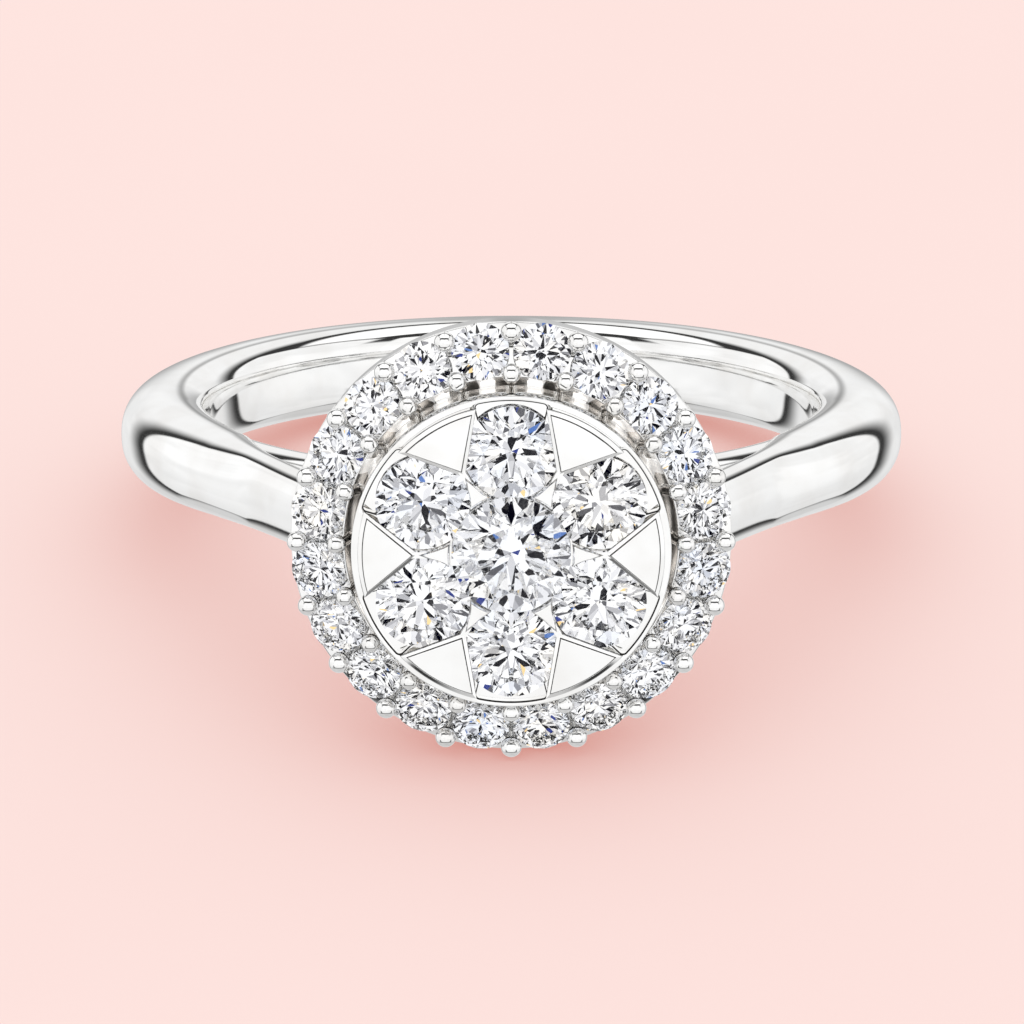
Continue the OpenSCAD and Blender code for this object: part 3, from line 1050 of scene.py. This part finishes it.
# The camera in the ring's frame: distance from the ring's middle in millimetres, its angle above the ring's
# plane and its pitch in radians, its place along X in millimetres and its lens for a 36 mm sensor
CAMERA_DISTANCE = 135.72
CAMERA_RISE = 0.2272
CAMERA_PITCH = 0.244
CAMERA_SIDE = 0.0188
CAMERA_LENS = 36 * 4974 / 1024


def toward(azimuth, elevation):
    """A direction by its azimuth from +Y and its elevation, in degrees."""
    return Vector((sin(azimuth) * cos(elevation), cos(azimuth) * cos(elevation), sin(elevation)))


def panel_edge(start, end, inside):
    """The plane through two directions, facing the panel's inside."""
    normal = toward(*start).cross(toward(*end)).normalized()
    return normal if normal.dot(toward(*inside)) > 0 else -normal


# White panels of the light tent, with dark seams between them: brightness, a direction inside, and edges with
# how softly each one starts. The tent is the same on both sides: azimuths run from 0 behind the ring to 180
# before it
PANELS = (
    (1.2, (90, 80), (((0, 46), (30, 46), 0.08), ((25, 7), (85, 42), 0.14), ((180, 66), (120, 57), 0.06))),
    (0.94, (0, 0), (((44.5, 15), (51.5, -25), 0.3), ((0, 42), (30, 42), 0.08))),
    (
        1.03,
        (80, 0),
        (
            ((45.5, 15), (50.5, -25), 0.05),
            ((30, 17), (85, 45), 0.07),
            ((50, -40), (100, -42), 0.05),
            ((117, 40), (119, -30), 0.1),
        ),
    ),
    (
        1.03,
        (112, 5),
        (
            ((98, 33), (125, 36), 0.14),
            ((98, -19), (125, -19), 0.1),
            ((96, 30), (96, -30), 0.1),
            ((134, 30), (134, -30), 0.1),
        ),
    ),
    (
        1.1,
        (180, 0),
        (
            ((180, 52), (125, 43), 0.04),
            ((124, 40), (126, -33), 0.04),
            ((180, -35), (125, -31), 0.04),
        ),
    ),
)
SEAM = 0.04
SOFT_LIGHT = 1.08
# Share of the ground's colour that takes light; the rest is painted light, an even glow that lightens the
# ground's shadows and makes them warm.
GROUND_SHARE = (0.325, 0.62, 0.66)

# What the stones gather: brightness and colour of small patches, by the share of patches below each one
SPARKLE = (
    (0.0, (0.0, 0.0, 0.004)),
    (0.125, (0.012, 0.03, 0.22)),
    (0.134, (0.1, 0.2, 0.5)),
    (0.14, (0.1, 0.1, 0.11)),
    (0.18, (0.28, 0.28, 0.3)),
    (0.23, (0.46, 0.46, 0.48)),
    (0.29, (0.64, 0.64, 0.66)),
    (0.38, (0.8, 0.8, 0.82)),
    (0.5, (0.92, 0.92, 0.93)),
    (0.66, (1.0, 1.0, 1.0)),
    (0.992, (1.0, 0.72, 0.34)),
)


def tent_light(shader, direction):
    """Brightness of the tent in a direction."""
    apart = shader.add("ShaderNodeSeparateXYZ", None, {0: direction}, "X").socket.node
    x, y, z = (Wire(shader, socket) for socket in apart.outputs)
    folded = shader.add("ShaderNodeCombineXYZ", None, {0: x.math("ABSOLUTE", x), 1: y, 2: z}, "Vector")
    light = (-z).between(0.63, 0.7) * 0.84
    for brightness, inside, edges in PANELS:
        reach = None
        for start, end, soft in edges:
            distance = folded.dot(panel_edge(start, end, inside)) / soft
            reach = distance if reach is None else reach.least(distance)
        light = light.most(reach.between(0.0, 1.0) * brightness)
    light = light * direction.dot(toward(0, -14)).between(math.cos(0.3), math.cos(0.08), 1.0, 0.5)
    behind = folded.dot((1, 0, 0)).between(0.0, 0.05, 0.5, 1.0)
    ahead = (-y).between(0.0, 0.1).most((-z).between(0.0, 0.1))
    clouds = shader.noise(shader.stretch(direction, (1.0, 1.0, 2.0)), 1.7).between(0.36, 0.58, 0.93, 1.03)
    fall = z.between(-0.8, 0.0, 0.79, 1.02)
    return (light * clouds * fall * behind.most(ahead)).most(SEAM)


def make_tent(world, colours):
    """The world: even light for matt things, a light tent for what mirrors, small bright patches for what
    refracts, and the ground's colour beyond the floor."""
    shader = Shader(world)
    direction = shader.add("ShaderNodeTexCoord", None, None, "Generated")
    light = tent_light(shader, direction)
    height = shader.add("ShaderNodeSeparateXYZ", None, {0: direction}, "Z")
    soft = height.between(0.1, 0.95, 0.54 * SOFT_LIGHT, 1.28 * SOFT_LIGHT)
    patch = shader.add(
        "ShaderNodeTexVoronoi",
        {"feature": "F1"},
        {"Vector": direction, "Scale": 37.0, "Randomness": 1.0},
        "Color",
    )
    share = shader.add("ShaderNodeSeparateColor", None, {"Color": patch}, "Red")
    sparkle = shader.add("ShaderNodeValToRGB", {"stops": SPARKLE}, {"Fac": share}, "Color")
    ray = shader.add("ShaderNodeLightPath", None, None, "Is Camera Ray").socket.node
    kinds = ("Camera", "Glossy", "Transmission")
    camera, glossy, through = (Wire(shader, ray.outputs[f"Is {kind} Ray"]) for kind in kinds)
    tone = shader.blend(through, (1.0, 1.0, 1.0), sparkle)
    tone = shader.blend(camera, tone, tuple(SOFT_LIGHT * v for v in colours.ground))
    strength = soft + glossy * (light - soft)
    strength = strength + through * (1.15 - strength)
    strength = strength + camera * (1 - strength)
    shader.finish(
        shader.add("ShaderNodeBackground", None, {"Color": tone, "Strength": strength}, "Background"),
        "ShaderNodeOutputWorld",
    )


def ground_material(name, colours):
    """Smooth matt paper in the ground's colour. Part of its colour is painted light, an even glow that
    lightens its shadows and makes them warm.
    """
    made = bpy.data.materials.new(name)
    shader = Shader(made)
    place = object_place(shader)
    cloud = shader.noise(place, 1 / (30 * MM), 3.0)
    fibre = shader.noise(place, 1 / (0.25 * MM), 3.0)
    base = tuple(colours.ground)
    lit = tuple(v * share for v, share in zip(base, GROUND_SHARE))
    tint = shader.blend(cloud.between(0.3, 0.7), lit, tuple(0.98 * v for v in lit))
    # Painted light: the glow that fills the ground's shadows.
    glow = tuple(v * (1 - share) for v, share in zip(base, GROUND_SHARE))
    bump = {"Height": fibre, "Strength": 0.08, "Distance": 0.02 * MM}
    relief = shader.add("ShaderNodeBump", None, bump, "Normal")
    values = {"Base Color": tint, "Roughness": 0.9, "Specular IOR Level": 0.0, "Normal": relief}
    values |= {"Emission Color": glow, "Emission Strength": SOFT_LIGHT}
    shader.finish(shader.shaded(values))
    return made


class HALORING_OT_stage(bpy.types.Operator):
    """Adds the ground, the light tent and the camera"""

    bl_idname = "haloring.stage"
    bl_label = "Stage"

    def execute(self, context):
        scene = context.scene
        colours = scene.halo_ring_colours
        bm = new_mesh()
        bmesh.ops.create_circle(bm, cap_ends=True, segments=128, radius=1.5)
        floor = new_object(bm, "ground")
        floor.data.materials.append(material("pale_ground", ground_material, colours))
        floor.visible_glossy = False
        floor.visible_transmission = False
        scene.world = bpy.data.worlds.new("light_tent")
        make_tent(scene.world, colours)
        eye = bpy.data.cameras.new("camera")
        eye.lens = CAMERA_LENS
        eye.sensor_width = 36
        eye.clip_start = 0.005
        eye.clip_end = 10
        camera = bpy.data.objects.new("camera", eye)
        lean = RING.to_3x3().normalized()
        ahead = lean @ Vector((0, math.cos(CAMERA_PITCH), -math.sin(CAMERA_PITCH)))
        away, up = math.cos(CAMERA_RISE), math.sin(CAMERA_RISE)
        spot = (CAMERA_SIDE, -CAMERA_DISTANCE * away, CAMERA_DISTANCE * up)
        camera.location = RING @ Vector(spot)
        camera.rotation_euler = ahead.to_track_quat("-Z", "Y").to_euler()
        scene.collection.objects.link(camera)
        scene.camera = camera
        scene.view_settings.view_transform = "Standard"
        scene.cycles.max_bounces = 24
        scene.cycles.glossy_bounces = 14
        scene.cycles.transmission_bounces = 14
        scene.cycles.caustics_reflective = False
        scene.cycles.caustics_refractive = False
        return {"FINISHED"}


class HALORING_PT_panel(bpy.types.Panel):
    """Lists the ring's settings and pieces"""

    bl_idname = "HALORING_PT_panel"
    bl_label = "Halo Ring"
    bl_space_type = "VIEW_3D"
    bl_region_type = "UI"
    bl_category = "Halo Ring"

    def draw(self, context):
        for group in (context.scene.halo_ring_sizes, context.scene.halo_ring_colours):
            box = self.layout.box()
            for name in group.__annotations__:
                box.prop(group, name)
        for operator in OPERATORS:
            self.layout.operator(operator.bl_idname)


OPERATORS = (
    HALORING_OT_stage,
    HALORING_OT_shank,
    HALORING_OT_bridge,
    HALORING_OT_halo,
    HALORING_OT_beads,
    HALORING_OT_cup,
    HALORING_OT_plates,
    HALORING_OT_stones,
)
CLASSES = (HALORING_PG_sizes, HALORING_PG_colours, *OPERATORS, HALORING_PT_panel)


def register():
    for cls in CLASSES:
        bpy.utils.register_class(cls)
    bpy.types.Scene.halo_ring_sizes = bpy.props.PointerProperty(type=HALORING_PG_sizes)
    bpy.types.Scene.halo_ring_colours = bpy.props.PointerProperty(type=HALORING_PG_colours)


def unregister():
    del bpy.types.Scene.halo_ring_colours
    del bpy.types.Scene.halo_ring_sizes
    for cls in reversed(CLASSES):
        bpy.utils.unregister_class(cls)


def main():
    register()
    bpy.ops.haloring.stage()
    bpy.ops.haloring.shank()
    bpy.ops.haloring.bridge()
    bpy.ops.haloring.halo()
    bpy.ops.haloring.beads()
    bpy.ops.haloring.cup()
    bpy.ops.haloring.plates()
    bpy.ops.haloring.stones()


if __name__ == "__main__":
    main()
